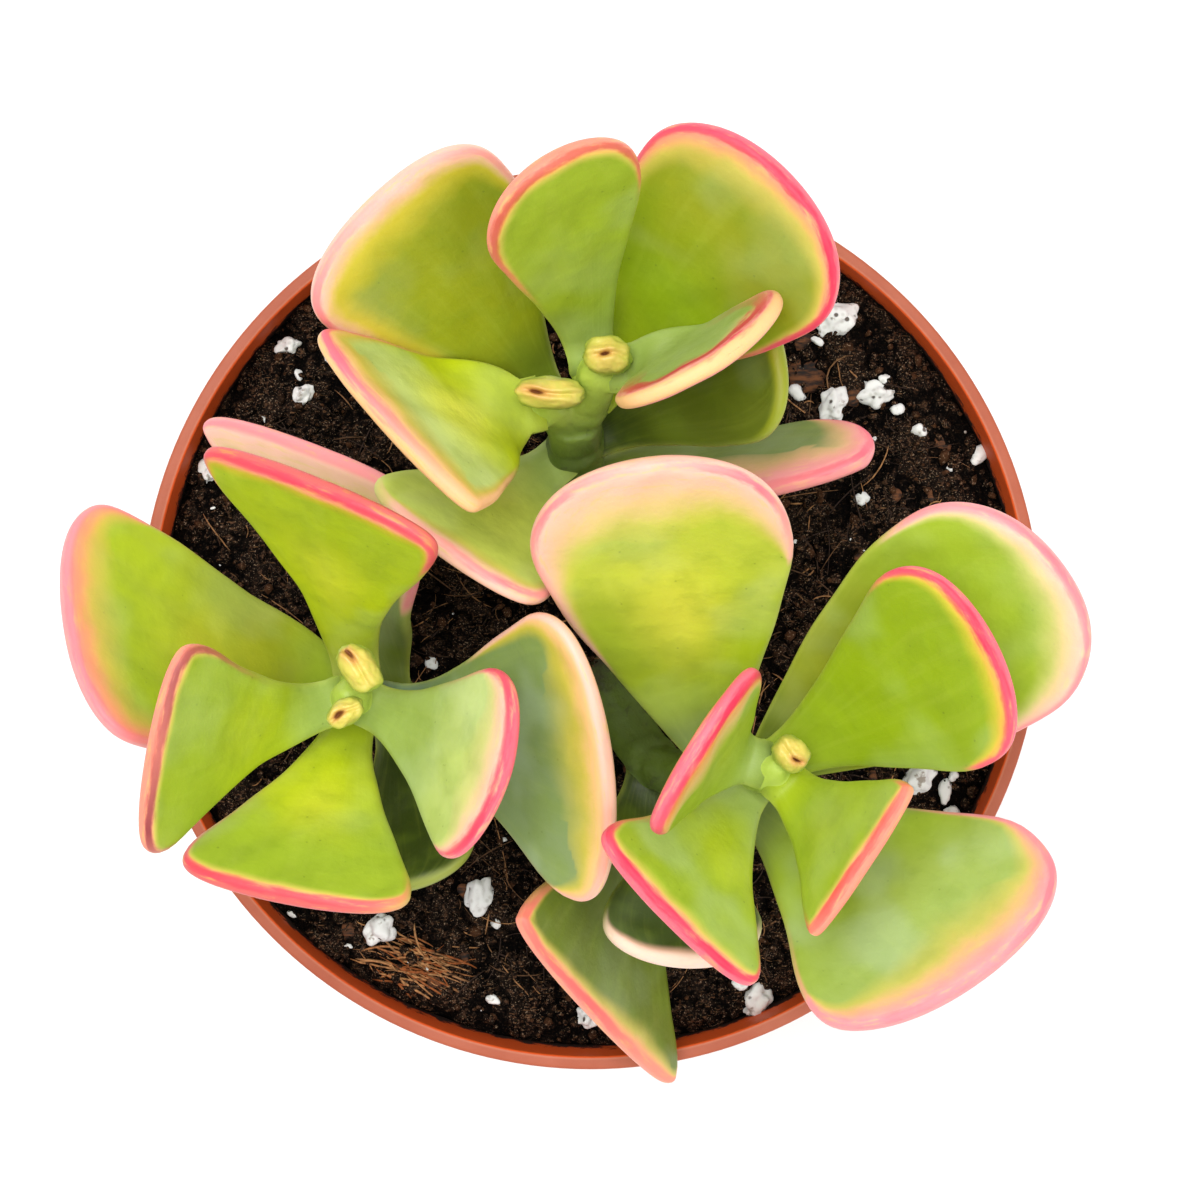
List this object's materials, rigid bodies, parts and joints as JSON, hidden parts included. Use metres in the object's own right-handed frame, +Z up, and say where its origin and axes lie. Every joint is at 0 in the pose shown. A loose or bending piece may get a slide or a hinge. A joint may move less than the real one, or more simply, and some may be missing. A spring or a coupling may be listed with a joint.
{
  "type": "potted jade plant",
  "caption": "Jade succulent: leafy shoots of thick green leaves edged in pink, rooted in dark potting soil with white perlite, in a round terracotta-coloured plastic pot.",
  "frame": {"origin": "centre of the pot's underside, on the surface that the pot stands on", "axes": "+Z up along the pot's axis; seen from above, +X to the right and +Y to the top of the pictured view"},
  "size_m": [0.1249, 0.1214, 0.1688],
  "materials": {
    "terracotta_plastic": "matte moulded plastic, dusty",
    "soil": "loose dark potting mix",
    "stem_green": "fleshy green stem, semi-matte",
    "leaf_green": "waxy, semi-glossy leaf with pink margins",
    "bud_yellow": "pale yellow-green young leaflets, waxy",
    "perlite_white": "porous white mineral grain"
  },
  "bodies": {
    "root": {"pot": "terracotta_plastic", "soil": "soil", "stem_left": "stem_green", "stem_right": "stem_green", "stem_top": "stem_green", "leaf_left_1a": "leaf_green", "leaf_left_1b": "leaf_green", "leaf_left_2a": "leaf_green", "leaf_left_2b": "leaf_green", "leaf_left_3a": "leaf_green", "leaf_left_3b": "leaf_green", "leaf_left_4a": "leaf_green", "leaf_left_4b": "leaf_green", "leaf_right_1a": "leaf_green", "leaf_right_1b": "leaf_green", "leaf_right_2a": "leaf_green", "leaf_right_2b": "leaf_green", "leaf_right_3a": "leaf_green", "leaf_right_3b": "leaf_green", "leaf_right_4a": "leaf_green", "leaf_right_4b": "leaf_green", "leaf_right_5a": "leaf_green", "leaf_top_a1": "leaf_green", "leaf_top_a2": "leaf_green", "leaf_top_a3": "leaf_green", "leaf_top_b1": "leaf_green", "leaf_top_b2": "leaf_green", "leaf_top_c1": "leaf_green", "leaf_top_c2": "leaf_green", "leaf_top_c3": "leaf_green", "bud_left": "bud_yellow", "bud_right": "bud_yellow", "bud_top_a": "bud_yellow", "bud_top_b": "bud_yellow", "perlite_01": "perlite_white", "perlite_02": "perlite_white", "perlite_03": "perlite_white", "perlite_04": "perlite_white", "perlite_05": "perlite_white", "perlite_06": "perlite_white", "perlite_07": "perlite_white", "perlite_08": "perlite_white", "perlite_09": "perlite_white", "perlite_10": "perlite_white", "perlite_11": "perlite_white"}
  },
  "joints": []
}
